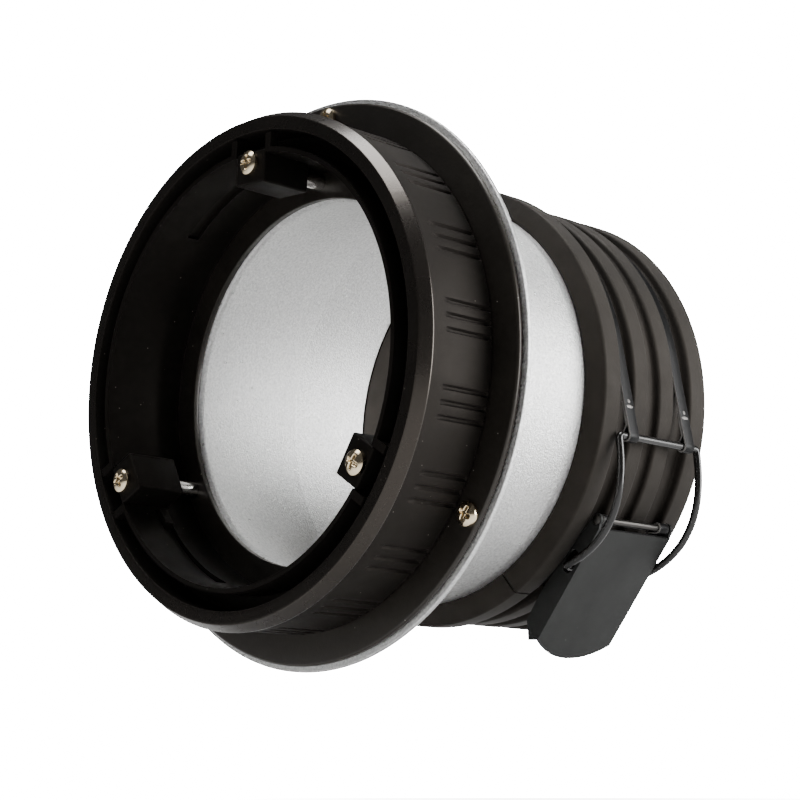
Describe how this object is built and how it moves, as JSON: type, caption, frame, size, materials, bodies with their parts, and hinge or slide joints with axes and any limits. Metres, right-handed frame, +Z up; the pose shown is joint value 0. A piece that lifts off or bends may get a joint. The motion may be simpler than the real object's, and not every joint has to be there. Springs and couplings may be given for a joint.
{
  "type": "studio flash mount adapter",
  "caption": "Mount adapter for a studio flash head: a rubber clamp collar with an over-centre latch, a spun tube and flange, and a bayonet lock ring.",
  "frame": {"origin": "on the tube axis at the rear face of the rubber collar, where the flash head enters", "axes": "+Y along the tube axis from the lock ring to the collar, out of the head bore; +Z up; +X towards the latch side"},
  "size_m": [0.1408, 0.1091, 0.1408],
  "materials": {
    "grip_plastic": "satin",
    "inner_plastic": "matte",
    "spacer_steel": "polished",
    "nickel_screw": "polished",
    "flange_black": "semi-gloss fine texture",
    "spun_aluminium": "satin, finely pebbled",
    "collar_rubber": "matte",
    "strap_steel": "black, semi-gloss",
    "lever_black": "matte black",
    "pin_steel": "satin",
    "wire_black": "black, semi-gloss"
  },
  "bodies": {
    "base": {"bayonet_sleeve": "inner_plastic", "lug_top": "inner_plastic", "lug_left": "inner_plastic", "lug_right": "inner_plastic", "spacer_top": "spacer_steel", "spacer_left": "spacer_steel", "spacer_right": "spacer_steel", "lug_screws": "nickel_screw", "flange_plate": "flange_black", "flange_screws": "nickel_screw", "spun_tube": "spun_aluminium", "rubber_collar": "collar_rubber", "strap_front_fixed": "strap_steel", "strap_rear_fixed": "strap_steel"},
    "ring": {"lock_ring": "grip_plastic"},
    "straps": {"strap_front_free": "strap_steel", "strap_rear_free": "strap_steel"},
    "lever": {"latch_lever": "lever_black", "lever_pin": "pin_steel"},
    "bail": {"bail_wire": "wire_black"}
  },
  "joints": [
    {"name": "ring_turn", "type": "hinge", "parent": "base", "child": "ring", "pos_m": [0, -0.096, 0], "axis": [0, -1, 0], "range_deg": [0, 29]},
    {"name": "lever_hinge", "type": "hinge", "parent": "base", "child": "lever", "pos_m": [0.04784, -0.02105, -0.03384], "axis": [0, -1, 0], "range_deg": [0, 90]},
    {"name": "strap_turn", "type": "hinge", "parent": "base", "child": "straps", "pos_m": [0, -0.02105, 0], "axis": [0, -1, 0], "range_deg": [0, 6.3]},
    {"name": "bail_hinge", "type": "hinge", "parent": "straps", "child": "bail", "pos_m": [0.0564, -0.02105, -0.01438], "axis": [0, -1, 0], "range_deg": [0, 25.7]}
  ],
  "couplings": [
    {"joint": "strap_turn", "follows": "lever_hinge", "ratio": 0.069314},
    {"joint": "bail_hinge", "follows": "lever_hinge", "ratio": 0.28495}
  ]
}
